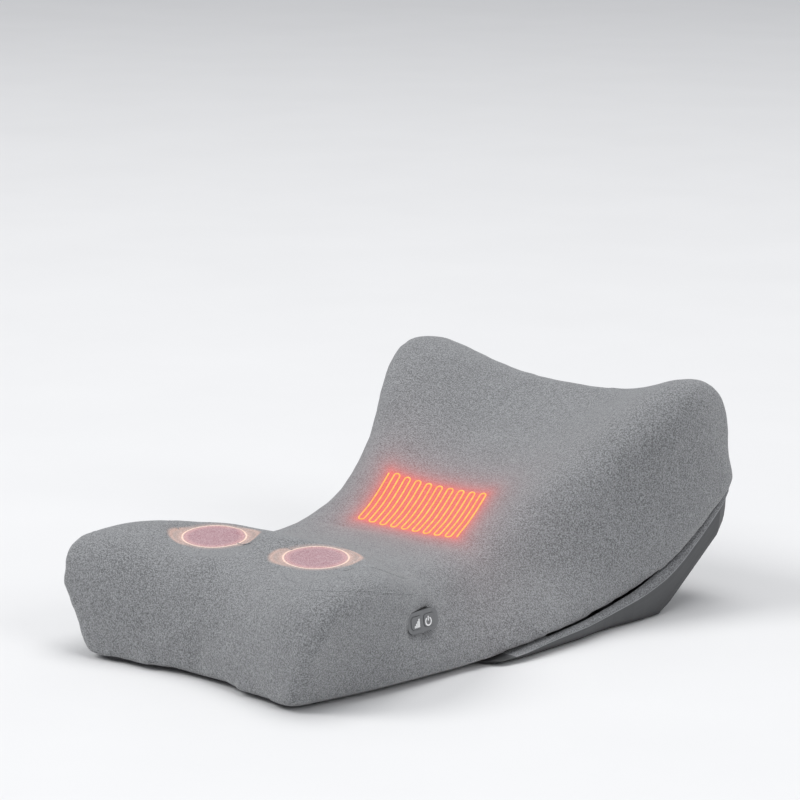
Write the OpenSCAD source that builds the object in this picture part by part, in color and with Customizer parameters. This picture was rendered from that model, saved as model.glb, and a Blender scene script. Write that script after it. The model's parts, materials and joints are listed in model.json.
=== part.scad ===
// Shiatsu neck massager: a padded saddle with two kneading heads, a heated slope and a wedge base.
// Millimetres. X is the width, Y runs from the low front to the high rear, Z is up.
// The origin is the centre of the footprint, on the surface the massager stands on.

/* [Cushion] */
// Overall length, front to rear
body_l = 400; // [390:1:410]
// Width of the cushion's outline at the rear; its rounded walls come out 5 mm narrower
body_w = 271; // [265:1:277]
// Height of the cushion, from its bottom edge to the wing tops
cushion_h = 152; // [148:1:156]
// Height of the cushion's bottom edge above the surface it stands on
base_gap = 4; // [4:0.5:5]
// Thickness of the fabric cover
cover_t = 2; // [1.5:0.25:2]
// Space between the cover and the foam, filled by the heater sheet
heater_space = 2.6; // [2.4:0.1:2.8]

/* [Massage heads] */
// Distance between the two head axes
head_spacing = 90; // [88:1:92]
// Distance from the front edge to the head axes
head_y = 73; // [71:1:75]
// Distance of the kneading nodes from their head's axis
node_orbit = 13; // [12:0.5:13]
// Radius of the large kneading node
big_node_r = 10; // [9:0.5:10]
// Radius of the small kneading node
small_node_r = 8; // [7:0.5:8]
// Height of the fabric dome over each head
dome_h = 1.5; // [1:0.25:2]

/* [Motor] */
// Radius of the motor
motor_r = 13.5; // [12:0.5:14]
// Length of the motor
motor_l = 46; // [40:1:48]

/* [Control pad] */
// Length of the control pad
pad_l = 28; // [27:1:30]
// Height of the control pad
pad_h = 13.5; // [13.5:0.25:14.5]
// Travel of each key
key_travel = 1; // [0.8:0.1:1]

/* [Wedge base] */
// Greatest half width of the wedge base
wedge_half_w = 124; // [120:1:125]
// Distance from the front edge to the tip of the wedge base
wedge_tip_y = 155; // [152:1:165]
// Wall thickness of the wedge base
wedge_wall = 2.5; // [2:0.25:3]

/* [Battery] */
// Radius of a battery cell
cell_r = 9.2; // [9:0.1:9.3]
// Length of a battery cell
cell_l = 65; // [62:1:65]

/* [Hidden] */

$fn = 48;
slack = 0.3;
gear_module = 1.5;
wheel_teeth = 20;
pinion_teeth = 12;
worm_r = 6;

// ---- shape of the cushion ----
// Share of the length, then shares of the half width for the rim and the ridge,
// then shares of the cushion height for the rim, the centre line and the ridge.
stations = [[0.00, 0.72, 0.835, 0.000, 0.36, 0.47],
            [0.16, 0.81, 0.79, 0.000, 0.49, 0.475],
            [0.34, 0.855, 0.60, 0.000, 0.375, 0.36],
            [0.52, 0.93, 0.52, 0.050, 0.39, 0.41],
            [0.70, 0.90, 0.71, 0.100, 0.57, 0.645],
            [0.86, 0.965, 0.92, 0.250, 0.74, 1.00],
            [1.00, 0.995, 0.86, 0.515, 0.945, 0.935]];
front_round = 26;
front_power = 2.9;
rear_round = 25;
rear_power = 2.1;
front_corner = 13;
rear_corner = 17;
rim_tuck = 8.5;
ridge_bulge = 12;
front_bow = 15;
bow_power = 2;
dome_reach = 32;

half_w = body_w / 2;
last_station = len(stations) - 1;

// The bowed front face stands this far behind the front edge line
front_setback = 0.8;

function place_y(y) = y - (body_l + front_setback) / 2;
function clamp01(v) = max(0, min(1, v));
function mixed(a, b, f) = a + (b - a) * f;

// Smooth curve through four neighbouring values, f from 0 to 1 between b and c
function catmull(a, b, c, d, f) =
    0.5 * (2 * b + (c - a) * f + (2 * a - 5 * b + 4 * c - d) * f * f + (3 * b - a - 3 * c + d) * f * f * f);

// Row of the station table at a share s of the length
function station_row(s) =
    let (q = lookup(s, [for (i = [0:last_station]) [stations[i][0], i]]),
         i = min(floor(q), last_station - 1),
         b = stations[i],
         c = stations[i + 1],
         a = i == 0 ? 2 * b - c : stations[i - 1],
         d = i == last_station - 1 ? 2 * c - b : stations[i + 2])
    catmull(a, b, c, d, q - i);

function rim_z(y) = base_gap + cushion_h * max(0, station_row(y / body_l)[3]);
// Inner sheets end a little above the outer one, so that they clear the bottom panel
rim_step = 0.1;
function sheet_rim_z(y, d) = rim_z(y) + rim_step * d;

// Control points of one cross-section, from the right rim over the top to the left rim.
// d shrinks the section, for the sheets that lie under the cover.
function section_half(y, d) =
    let (r = station_row(y / body_l),
         rim_w = r[1] * half_w - d,
         ridge_w = r[2] * half_w - d,
         low = sheet_rim_z(y, d),
         mid = base_gap + cushion_h * r[4] - d,
         high = base_gap + cushion_h * r[5] - d)
    [[rim_w - rim_tuck, low],
     [rim_w, low + 0.10 * (high - low)],
     [0.45 * rim_w + 0.55 * ridge_w, low + 0.52 * (high - low)],
     [ridge_w + ridge_bulge, low + 0.92 * (high - low)],
     [ridge_w * 0.93, high + 1.6],
     [ridge_w * 0.62, 0.5 * (mid + high)],
     [ridge_w * 0.28, mid],
     [0, mid]];
function section_points(y, d) =
    let (h = section_half(y, d))
    concat(h, [for (i = [6:-1:0]) [-h[i][0], h[i][1]]]);

// Point of the section's smooth curve at u, from 0 at the right rim to 14 at the left rim
section_end = 14;
function section_curve(p, u) =
    let (e = concat([2 * p[0] - p[1]], p, [2 * p[14] - p[13]]),
         i = min(floor(u), section_end - 1),
         f = u - i)
    (pow(1 - f, 3) * e[i] + (3 * pow(f, 3) - 6 * f * f + 4) * e[i + 1]
     + (-3 * pow(f, 3) + 3 * f * f + 3 * f + 1) * e[i + 2] + pow(f, 3) * e[i + 3]) / 6;

function end_rise(y, r, n) = pow(1 - pow(1 - clamp01(y / r), n), 1 / n);
// Distance the front is drawn back at a share of the half width; it fades out towards the middle
function bow_at(share, y) =
    front_bow * pow(max(0, 1 - share * share), bow_power) * max(0, 1 - 2 * y / body_l);
function corner_pull(y, r) = let (u = 1 - clamp01(y / r)) r * (1 - sqrt(1 - u * u));

// Dome raised over each massage head
function dome(x, y) =
    let (r = norm([abs(x) - head_spacing / 2, y - head_y]))
    r < dome_reach ? dome_h * pow(cos(90 * r / dome_reach), 2) : 0;

// Point of the sheet that lies d inside the cushion's outside, at a length y and section place u
function skin(y, u, d) =
    let (at_end = y <= d || y >= body_l - d,
         p = section_points(y, d),
         rim_w = p[1][0],
         rise = at_end ? 0 : end_rise(y - d, front_round - d, front_power)
                * end_rise(body_l - d - y, rear_round - d, rear_power),
         pull = corner_pull(y - d, front_corner) + corner_pull(body_l - d - y, rear_corner),
         c = at_end ? [p[0][0] * (1 - u / 7), p[0][1]] : section_curve(p, u),
         x = c[0] * (1 - pull / rim_w),
         z = p[0][1] + (c[1] - p[0][1]) * rise,
         bow = bow_at(x / rim_w, y))
    [x, place_y(y + bow), z + dome(x, y + bow) * rise];

// Rows of the sheet from front to rear, closer together towards both ends
function row_y(i, n, d) = d + (body_l - 2 * d) * (1 - cos(180 * i / n)) / 2;
function skin_rows(n, m, d) =
    [for (i = [0:n]) [for (j = [0:m]) skin(row_y(i, n, d), section_end * j / m, d)]];
// Rows that lie flat across the underside at a height shift, from rim to rim
function floor_rows(n, m, d, shift) =
    [for (i = [0:n])
        let (y = row_y(i, n, d), right = skin(y, 0, d))
        [for (j = [0:m])
            let (x = right[0] * (1 - 2 * j / m))
            [x, place_y(y + bow_at(x / section_points(y, d)[1][0], y)), rim_z(y) + shift]]];

// Closed solid between an upper and a lower grid of the same size, joined at their edges
module between(upper, lower) {
    n = len(upper);
    m = len(upper[0]);
    count = n * m;
    points = concat([for (r = upper) each r], [for (r = lower) each r]);
    top = [for (i = [0:n - 2], j = [0:m - 2])
        let (a = i * m + j) each [[a, a + 1, a + m], [a + 1, a + m + 1, a + m]]];
    bottom = [for (t = top) [t[0] + count, t[2] + count, t[1] + count]];
    loop = concat([for (j = [0:m - 2]) j], [for (i = [0:n - 2]) i * m + m - 1],
                  [for (j = [m - 1:-1:1]) (n - 1) * m + j], [for (i = [n - 1:-1:1]) i * m]);
    rim = [for (k = [0:len(loop) - 1])
        let (a = loop[k], b = loop[(k + 1) % len(loop)])
        each [[a, a + count, b], [b, a + count, b + count]]];
    polyhedron(points, concat(top, bottom, rim));
}

// Closed solid whose upper and lower grids share their edges
module pillow(upper, lower) {
    n = len(upper);
    m = len(upper[0]);
    points = [for (r = upper) each r];
    inner = [for (i = [1:n - 2], j = [1:m - 2]) lower[i][j]];
    count = n * m;
    top = [for (i = [0:n - 2], j = [0:m - 2])
        let (a = i * m + j) each [[a, a + 1, a + m], [a + 1, a + m + 1, a + m]]];
    bottom = [for (i = [0:n - 2], j = [0:m - 2])
        let (a = low_id(i, j, n, m, count), b = low_id(i, j + 1, n, m, count),
             c = low_id(i + 1, j + 1, n, m, count), d = low_id(i + 1, j, n, m, count))
        each [[a, d, c], [a, c, b]]];
    polyhedron(concat(points, inner), concat(top, bottom));
}
function low_id(i, j, n, m, count) =
    i == 0 || j == 0 || i == n - 1 || j == m - 1 ? i * m + j : count + (i - 1) * (m - 2) + j - 1;

// ---- places inside ----
// The board under the gearbox rises a little towards the rear, and the tray clears it
tray_z = base_gap + 3.8;
tray_t = 3;
tray_half_w = 74;
tray_front = head_y - 31;
tray_rear = head_y + 99;
worm_z = tray_z + tray_t + motor_r + 0.8;
wheel_t = 7;
pinion_z = worm_z + wheel_t / 2;
pinion_t = 8.5;
output_z = pinion_z + 1;
output_t = 6.5;
lid_z = pinion_z + pinion_t + 2;
lid_t = 3;
lid_half_w = 70;
lid_reach = 28;
plate_z = lid_z + lid_t + 5;
plate_t = 4;
big_node_z = plate_z + plate_t + big_node_r - 1;
small_node_z = plate_z + plate_t + small_node_r - 1;
shaft_r = 4;
pin_r = 3;
run_gap = 0.05;
wheel_r = gear_module * wheel_teeth / 2;
pinion_r = gear_module * pinion_teeth / 2;
gear_x = head_spacing / 2 - wheel_r - pinion_r;
head_x = head_spacing / 2;
lid_post_x = 66;
lid_post_y = 24;
window_r = 27;
foam_inset = cover_t + heater_space;

module at_front(y, z) {
    translate([0, place_y(y), z]) children();
}
module at_head(side, z) {
    translate([side * head_x, place_y(head_y), z]) children();
}
module at_gear(side, z) {
    translate([side * gear_x, place_y(head_y), z]) children();
}
module four_posts() {
    for (x = [-lid_post_x, lid_post_x], y = [-lid_post_y, lid_post_y])
        translate([x, place_y(head_y) + y, 0]) children();
}
module ring(outer, inner, h) {
    difference() {
        cylinder(r = outer, h = h);
        translate([0, 0, -1]) cylinder(r = inner, h = h + 2);
    }
}
module rounded_box(l, w, h, r) {
    linear_extrude(height = h) rounded_outline(l, w, r);
}
module rounded_outline(l, w, r) {
    square([l - 2 * r, w], center = true);
    square([l, w - 2 * r], center = true);
    for (x = [r - l / 2, l / 2 - r], y = [r - w / 2, w / 2 - r])
        translate([x, y]) circle(r = r);
}

// ---- gears ----
pressure = 20;
backlash = 0.3;
tip_share = 0.8;
root_share = 1.1;
function involute_angle(rb, r) = let (c = min(1, rb / r), a = acos(c)) tan(a) * 180 / PI - a;
// Half the angle of a tooth at radius r
function tooth_half(pitch_r, r) =
    let (rb = pitch_r * cos(pressure), thick = PI * gear_module / 2 - backlash)
    thick / (2 * pitch_r) * 180 / PI + involute_angle(rb, pitch_r) - involute_angle(rb, r);
module gear_outline(teeth, turn) {
    pitch_r = gear_module * teeth / 2;
    tip = pitch_r + tip_share * gear_module;
    root = pitch_r - root_share * gear_module;
    base = max(pitch_r * cos(pressure), root + 0.1);
    radii = [root, base, (base + tip) / 2, tip];
    halves = [for (r = radii) tooth_half(pitch_r, r)];
    polygon([for (i = [0:teeth - 1])
        let (mid = turn + 360 * i / teeth)
        each concat([for (k = [0:3]) radii[k] * [cos(mid - halves[k]), sin(mid - halves[k])]],
                    [for (k = [3:-1:0]) radii[k] * [cos(mid + halves[k]), sin(mid + halves[k])]])]);
}
half_tooth = 180 / wheel_teeth;

// Worm thread, one start, right-handed about the Y axis
worm_pitch = PI * gear_module;
thread_turns = 5;
thread_steps = 16;
thread_depth = 1.2;
thread_core = worm_r - 1.6;
thread_half = worm_pitch / 4 - 0.25;
module worm_thread() {
    steps = thread_turns * thread_steps;
    slope = tan(pressure);
    profile = [[thread_core - 0.4, thread_half + 1.6 * slope],
               [worm_r + thread_depth, thread_half - thread_depth * slope],
               [worm_r + thread_depth, thread_depth * slope - thread_half],
               [thread_core - 0.4, -thread_half - 1.6 * slope]];
    points = [for (k = [0:steps])
        let (a = 360 * k / thread_steps,
             y = worm_pitch * ((k - thread_steps / 4) / thread_steps - thread_turns / 2))
        each [for (p = profile) [p[0] * sin(a), y + p[1], p[0] * cos(a)]]];
    sides = [for (k = [0:steps - 1], s = [0:3])
        let (a = 4 * k + s, b = 4 * k + (s + 1) % 4)
        each [[a, a + 4, b], [b, a + 4, b + 4]]];
    polyhedron(points, concat(sides, [[0, 1, 2, 3], [for (s = [3:-1:0]) 4 * steps + s]]));
}

// ---- covers, foam and heater ----
panel_t = 2;
panel_inset = 5;
cavity_half_w = tray_half_w + 2;
cavity_front = tray_front - 2;
cavity_rear = tray_rear + 2;
cavity_top = lid_z + lid_t + 1;

// A zero size leaves a shape as it is, and makes one plain mesh of it and its cuts
module cover_top() {
    color([0.62, 0.63, 0.66]) resize([0, 0, 0]) difference() {
        between(skin_rows(36, 32, 0), skin_rows(36, 32, cover_t));
        on_right_side() pad_prism(0.4, -8, 12);
        on_left_side() port_prism(0.3, -8, 12);
    }
}
module bottom_panel() {
    color([0.2, 0.2, 0.22]) difference() {
        between(floor_rows(24, 12, panel_inset, 0), floor_rows(24, 12, panel_inset, -panel_t));
        wedge_screw_places() cylinder(r = screw_r + slack / 2, h = 60);
    }
}
module foam_cushion() {
    color([0.93, 0.9, 0.8]) resize([0, 0, 0]) difference() {
        pillow(skin_rows(28, 24, foam_inset), floor_rows(28, 24, foam_inset, rim_step * foam_inset));
        translate([-cavity_half_w, place_y(cavity_front), -1])
            cube([2 * cavity_half_w, cavity_rear - cavity_front, cavity_top + 1]);
        for (side = [-1, 1])
            at_head(side, 0) cylinder(r = window_r, h = 100);
        on_right_side() pad_prism(0.8, pad_back - 1, 12);
        on_left_side() port_prism(0.8, port_back - 1, 12);
        rod(heater_lead_start, heater_lead_end, channel_r);
        rod(key_lead_start, key_lead_end, channel_r);
        rod(charge_lead_start, charge_lead_end, channel_r);
        wedge_screw_places() cylinder(r = screw_r + slack, h = 60);
    }
}

heater_y = [191, 253];
heater_half_w = 56;
sheet_rows = 10;
// Point d inside the cushion's outside, at a length y and a distance x from the middle
function u_at(x, y) = lookup(x, [for (u = [10:-0.25:4]) [skin(y, u, cover_t)[0], u]]);
function on_slope(x, y, d) = skin(y, u_at(x, y), d);
module heater_sheet() {
    rows = [for (i = [0:sheet_rows]) mixed(heater_y[0], heater_y[1], i / sheet_rows)];
    cols = [for (j = [0:sheet_rows]) mixed(heater_half_w, -heater_half_w, j / sheet_rows)];
    color([0.85, 0.75, 0.3])
        between([for (y = rows) [for (x = cols) on_slope(x, y, cover_t + 1.2)]],
                [for (y = rows) [for (x = cols) on_slope(x, y, cover_t + 1.9)]]);
}

// The wire runs up and down the slope in leaning bars, with a turn between two bars
wire_bars = 19;
wire_lean = 0.37;
wire_w = 1.2;
wire_margin = 4;
wire_half_w = 43;
wire_mid_y = (heater_y[0] + heater_y[1]) / 2;
wire_reach = (heater_y[1] - heater_y[0]) / 2 - wire_margin;
module heating_wire() {
    // places along a bar, from its low end at -1 to its high end at 1
    shares = [-1, -0.34, 0.34, 1];
    path = [for (k = [0:wire_bars - 1], s = shares)
        let (rise = wire_reach * (k % 2 == 0 ? s : -s))
        [mixed(wire_half_w, -wire_half_w, k / (wire_bars - 1)) - wire_lean * rise, wire_mid_y + rise]];
    last = len(path) - 1;
    rings = [for (k = [0:last])
        let (t = path[min(last, k + 1)] - path[max(0, k - 1)],
             n = [-t[1], t[0]] / norm(t) * wire_w / 2)
        [for (c = [[1, 0.3], [-1, 0.3], [-1, 1], [1, 1]])
            on_slope(path[k][0] + c[0] * n[0], path[k][1] + c[0] * n[1], cover_t + c[1])]];
    sides = [for (k = [0:last - 1], s = [0:3])
        let (a = 4 * k + s, b = 4 * k + (s + 1) % 4)
        each [[a, a + 4, b], [b, a + 4, b + 4]]];
    color([0.8, 0.45, 0.2])
        polyhedron([for (r = rings) each r],
                   concat(sides, [[0, 1, 2, 3], [for (s = [3:-1:0]) 4 * last + s]]));
}

// ---- control pad, in the right side wall ----
pad_y = 103.5;
pad_u = 2.15;
pad_at = skin(pad_y, pad_u, 0);
wall_low = skin(pad_y, pad_u - 0.4, 0);
wall_high = skin(pad_y, pad_u + 0.4, 0);
wall_lean = atan2(wall_low[0] - wall_high[0], wall_high[2] - wall_low[2]);
pad_corner = 5.5;
pad_proud = 3;
pad_face_t = 4.5;
pad_wall = 1.5;
pad_back = -9;
key_x = 5.8;
key_l = 10;
key_h = 8;
key_corner = 2.5;
key_gap = 0.25;
key_top = pad_proud + 0.4;
key_skirt = 0.6;

// Local frame of a side wall: X to the rear, Y up the wall, Z out of the wall
module on_right_side() {
    translate(pad_at) rotate([0, 90 - wall_lean, 0]) rotate([0, 0, 90]) children();
}
module pad_prism(grow, low, high) {
    translate([0, 0, low]) rounded_box(pad_l + 2 * grow, pad_h + 2 * grow, high - low, pad_corner + grow);
}
module key_places() {
    for (x = [-key_x, key_x]) translate([x, 0, 0]) children();
}
module control_bezel() {
    face_low = pad_proud - pad_face_t;
    color([0.16, 0.16, 0.18]) on_right_side() difference() {
        union() {
            pad_prism(0, face_low, pad_proud);
            pad_prism(-0.5, pad_back, face_low);
        }
        pad_prism(-0.5 - pad_wall, pad_back - 1, face_low);
        key_places() translate([0, 0, face_low - 1])
            rounded_box(key_l + 2 * key_gap, key_h + 2 * key_gap, pad_face_t + 2, key_corner + key_gap);
    }
}
module key_cap() {
    face_low = pad_proud - pad_face_t;
    translate([0, 0, face_low]) rounded_box(key_l, key_h, key_top - face_low, key_corner);
    translate([0, 0, face_low - 1.1])
        rounded_box(key_l + 2 * key_skirt, key_h + 2 * key_skirt, 1, key_corner + key_skirt);
    translate([0, 0, face_low - 0.2]) rounded_box(key_l - 1, key_h - 1, 0.4, key_corner);
}
module key_level() {
    color([0.75, 0.76, 0.78]) on_right_side() translate([-key_x, 0, 0]) key_cap();
}
module key_power() {
    color([0.75, 0.76, 0.78]) on_right_side() translate([key_x, 0, 0]) key_cap();
}
key_low = pad_proud - pad_face_t - 1.1;
board_t = 1.6;
dome_sheet_t = 1;
board_low = pad_back + 0.5;
pad_fill = -0.7 - pad_wall;
module key_board() {
    color([0.1, 0.4, 0.2]) on_right_side() pad_prism(pad_fill, board_low, board_low + board_t);
}
module key_domes() {
    sheet_low = board_low + board_t;
    dome_top = key_low - key_travel - 0.2;
    color([0.85, 0.85, 0.85]) on_right_side() {
        pad_prism(pad_fill, sheet_low, sheet_low + dome_sheet_t);
        key_places() translate([0, 0, sheet_low]) cylinder(r1 = 4, r2 = 2.5, h = dome_top - sheet_low);
    }
}

// ---- charging port, in the left side wall ----
port_y = 135;
port_at = skin(port_y, section_end - pad_u, 0);
port_l = 16;
port_h = 9;
port_back = -10;
slot_l = 9.2;
slot_h = 3.4;
module on_left_side() {
    translate(port_at) rotate([0, wall_lean - 90, 0]) rotate([0, 0, -90]) children();
}
module port_prism(grow, low, high) {
    translate([0, 0, low]) rounded_box(port_l + 2 * grow, port_h + 2 * grow, high - low, 3 + grow);
}
module charge_port() {
    color([0.12, 0.12, 0.13]) on_left_side() {
        difference() {
            port_prism(0, port_back, 1);
            translate([0, 0, port_back + 2]) rounded_box(slot_l, slot_h, 20, slot_h / 2 - 0.1);
        }
        translate([0, 0, port_back + 1]) rounded_box(slot_l - 2.6, 0.8, 7, 0.3);
    }
}

// ---- gearbox ----
screw_r = 1.5;
boss_r = 5;
shaft_boss_r = 7;
bush_r = 5.5;
bush_flange = 1;
gear_low = worm_z - wheel_t / 2;
hub_low = gear_low + 1.5;
tray_top = tray_z + tray_t;
fixed_gap = 0.02;

module gearbox_tray() {
    color([0.3, 0.32, 0.36]) difference() {
        union() {
            at_front((tray_front + tray_rear) / 2, tray_z)
                rounded_box(2 * tray_half_w, tray_rear - tray_front, tray_t, 6);
            four_posts() translate([0, 0, tray_z]) cylinder(r = 4, h = lid_z - tray_z);
            for (side = [-1, 1]) {
                at_gear(side, tray_z) cylinder(r = boss_r, h = gear_low - tray_z - 0.2);
                at_head(side, tray_z) cylinder(r = shaft_boss_r, h = hub_low - bush_flange - 0.2 - tray_z);
            }
        }
        four_posts() translate([0, 0, lid_z - 12]) cylinder(r = screw_r, h = 20);
        for (side = [-1, 1]) {
            at_gear(side, tray_z + 1) cylinder(r = pin_r + fixed_gap, h = 30);
            at_head(side, tray_z + 1) cylinder(r = bush_r + fixed_gap, h = 30);
        }
    }
}
module gearbox_lid() {
    color([0.36, 0.38, 0.42]) difference() {
        at_front(head_y, lid_z) rounded_box(2 * lid_half_w, 2 * lid_reach, lid_t, 6);
        four_posts() translate([0, 0, lid_z - 1]) cylinder(r = screw_r + 0.2, h = 10);
        for (side = [-1, 1]) {
            at_gear(side, lid_z - 1) cylinder(r = pin_r + fixed_gap, h = 10);
            at_head(side, lid_z - 1) cylinder(r = bush_r + fixed_gap, h = 10);
        }
    }
}
module lid_screws() {
    color("silver") four_posts() {
        translate([0, 0, lid_z - 10]) cylinder(r = screw_r - fixed_gap, h = 10 + lid_t);
        translate([0, 0, lid_z + lid_t]) cylinder(r = 3, h = 0.9);
    }
}
module lid_bushes() {
    color([0.8, 0.65, 0.3]) for (side = [-1, 1]) {
        at_head(side, lid_z) ring(bush_r, shaft_r + run_gap, lid_t);
        at_head(side, lid_z + lid_t) ring(bush_r + 1.5, shaft_r + run_gap, bush_flange);
    }
}
module tray_bushes() {
    color([0.8, 0.65, 0.3]) for (side = [-1, 1]) {
        at_head(side, tray_z + 1) ring(bush_r, shaft_r + run_gap, hub_low - tray_z - 1.2);
    }
}
module gear_pins() {
    color("silver") for (side = [-1, 1])
        at_gear(side, tray_z + 1) cylinder(r = pin_r, h = lid_z + lid_t - tray_z - 1);
}

// Wheel driven by the worm, with the pinion that drives the output gear on top of it
module compound_gear(side) {
    color([0.92, 0.92, 0.88]) at_gear(side, 0) difference() {
        union() {
            translate([0, 0, gear_low]) linear_extrude(height = wheel_t)
                gear_outline(wheel_teeth, side > 0 ? 0 : half_tooth);
            translate([0, 0, pinion_z - 0.1]) linear_extrude(height = pinion_t + 0.1)
                gear_outline(pinion_teeth, 0);
        }
        cylinder(r = pin_r + run_gap, h = 100);
    }
}
module compound_gear_left() { compound_gear(-1); }
module compound_gear_right() { compound_gear(1); }

module output_gear(side) {
    color([0.85, 0.87, 0.9]) at_head(side, 0) difference() {
        union() {
            translate([0, 0, output_z]) linear_extrude(height = output_t)
                gear_outline(wheel_teeth, half_tooth);
            translate([0, 0, hub_low]) cylinder(r = shaft_boss_r, h = output_z - hub_low + 1);
        }
        cylinder(r = shaft_r + fixed_gap, h = 100);
    }
}
module output_gear_left() { output_gear(-1); }
module output_gear_right() { output_gear(1); }

module output_shaft(side) {
    color("silver") at_head(side, tray_z + 1.5) cylinder(r = shaft_r, h = plate_z + plate_t - tray_z - 1.5);
}
module output_shaft_left() { output_shaft(-1); }
module output_shaft_right() { output_shaft(1); }

// ---- massage heads ----
// Direction of the large node of each head at rest
node_turn = 150;
plate_end_r = 7;
module head_plate(side) {
    color([0.3, 0.32, 0.36]) at_head(side, plate_z) rotate([0, 0, node_turn]) difference() {
        union() {
            cylinder(r = 9, h = plate_t);
            for (x = [-node_orbit, node_orbit]) translate([x, 0, 0]) cylinder(r = plate_end_r, h = plate_t);
            translate([-node_orbit, -plate_end_r, 0]) cube([2 * node_orbit, 2 * plate_end_r, plate_t]);
        }
        translate([0, 0, -1]) cylinder(r = shaft_r + fixed_gap, h = plate_t + 2);
    }
}
module head_plate_left() { head_plate(-1); }
module head_plate_right() { head_plate(1); }

module node_ball(r) {
    difference() {
        translate([0, 0, r - 1]) sphere(r = r);
        translate([-r, -r, -2 * r]) cube(2 * r);
    }
}
module kneading_nodes(side) {
    color([0.9, 0.6, 0.5]) at_head(side, plate_z + plate_t) rotate([0, 0, node_turn]) {
        translate([node_orbit, 0, 0]) node_ball(big_node_r);
        translate([-node_orbit, 0, 0]) node_ball(small_node_r);
    }
}
module kneading_nodes_left() { kneading_nodes(-1); }
module kneading_nodes_right() { kneading_nodes(1); }

module head_screw(side) {
    color("silver") at_head(side, plate_z + plate_t) {
        cylinder(r = shaft_r + 1, h = 1);
        translate([0, 0, 1]) cylinder(r = 2.8, h = 1.8);
    }
}
module head_screws_left() { head_screw(-1); }
module head_screws_right() { head_screw(1); }

// ---- motor and worm ----
motor_shaft_r = 2.5;
motor_front = head_y + 27;
motor_cap_t = 4;
bearing_front = head_y - 23;
bearing_t = 5;
clamp_t = 3;
clamp_l = 9;
clamp_y = motor_front + motor_l / 2 - clamp_l / 2;
module along_y(y) {
    translate([0, place_y(y), worm_z]) rotate([-90, 0, 0]) children();
}
module motor_can() {
    color([0.7, 0.7, 0.72]) along_y(motor_front) difference() {
        union() {
            cylinder(r = motor_r, h = motor_l);
            translate([0, 0, -2]) cylinder(r = 5, h = 3);
        }
        translate([0, 0, -3]) cylinder(r = motor_shaft_r + run_gap, h = motor_l + 4);
    }
}
module motor_end_cap() {
    color([0.15, 0.15, 0.15]) along_y(motor_front + motor_l) difference() {
        cylinder(r = motor_r - 0.5, h = motor_cap_t);
        translate([0, 0, -1]) cylinder(r = motor_shaft_r + run_gap, h = motor_cap_t + 2);
    }
}
module motor_clamp() {
    foot_w = motor_r + clamp_t + 5;
    color([0.3, 0.32, 0.36]) difference() {
        union() {
            along_y(clamp_y) cylinder(r = motor_r + clamp_t, h = clamp_l);
            translate([-foot_w, place_y(clamp_y), tray_top]) cube([2 * foot_w, clamp_l, 3]);
        }
        along_y(clamp_y - 1) cylinder(r = motor_r + fixed_gap, h = clamp_l + 2);
        translate([-50, place_y(clamp_y) - 1, tray_top - 50]) cube([100, clamp_l + 2, 50]);
    }
}
module worm_shaft() {
    color("silver") {
        along_y(bearing_front + 0.5) cylinder(r = motor_shaft_r, h = motor_front + motor_l - bearing_front);
        along_y(head_y - 14) cylinder(r = thread_core, h = 28);
        translate([0, place_y(head_y), worm_z]) worm_thread();
    }
}
module worm_bearing() {
    w = 14;
    color([0.3, 0.32, 0.36]) difference() {
        translate([-w / 2, place_y(bearing_front), tray_top]) cube([w, bearing_t, worm_z - tray_top + 7]);
        along_y(bearing_front - 1) cylinder(r = motor_shaft_r + run_gap, h = bearing_t + 2);
    }
}

// ---- battery and board ----
cell_x = -44;
cell_step = 9.8;
cell_y = motor_front + 4;
cell_z = tray_top + 1.5 + cell_r;
module cells(grow) {
    for (x = [cell_x - cell_step, cell_x + cell_step])
        translate([x, place_y(cell_y) - grow, cell_z]) rotate([-90, 0, 0])
            cylinder(r = cell_r + grow, h = cell_l + 2 * grow);
}
module battery_cells() {
    color([0.2, 0.4, 0.7]) cells(0);
}
module battery_holder() {
    w = 4 * cell_step + 3;
    color([0.1, 0.1, 0.1]) difference() {
        translate([cell_x - w / 2, place_y(cell_y) - 1.5, tray_top]) cube([w, cell_l + 3, 9]);
        cells(0.1);
    }
}
board_x = 46;
board_y = 137;
board_l = 52;
board_w = 40;
board_z = tray_top + 4;
module main_board() {
    color([0.1, 0.4, 0.2]) {
        translate([board_x, place_y(board_y), board_z]) rounded_box(board_w, board_l, board_t, 2);
        for (x = [-1, 1], y = [-1, 1])
            translate([board_x + x * (board_w / 2 - 4), place_y(board_y) + y * (board_l / 2 - 4), tray_top])
                cylinder(r = 2.5, h = board_z - tray_top);
        translate([board_x - 8, place_y(board_y) - 6, board_z + board_t]) cube([12, 12, 2]);
        translate([board_x + 6, place_y(board_y) + 8, board_z + board_t]) cylinder(r = 4, h = 9);
        translate([board_x - 16, place_y(board_y) + 2, board_z + board_t]) cube([8, 8, 6]);
    }
}

// ---- leads ----
lead_r = 0.9;
lead_sides = 8;
channel_r = 1.6;
board_top = board_z + board_t;
module rod(a, b, r) {
    v = b - a;
    translate(a) rotate([0, acos(v[2] / norm(v)), atan2(v[1], v[0])]) cylinder(r = r, h = norm(v), $fn = 16);
}
function unit(v) = v / norm(v);
function square_to(t) = unit(abs(t[2]) < 0.9 ? cross(t, [0, 0, 1]) : cross(t, [0, 1, 0]));
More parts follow.
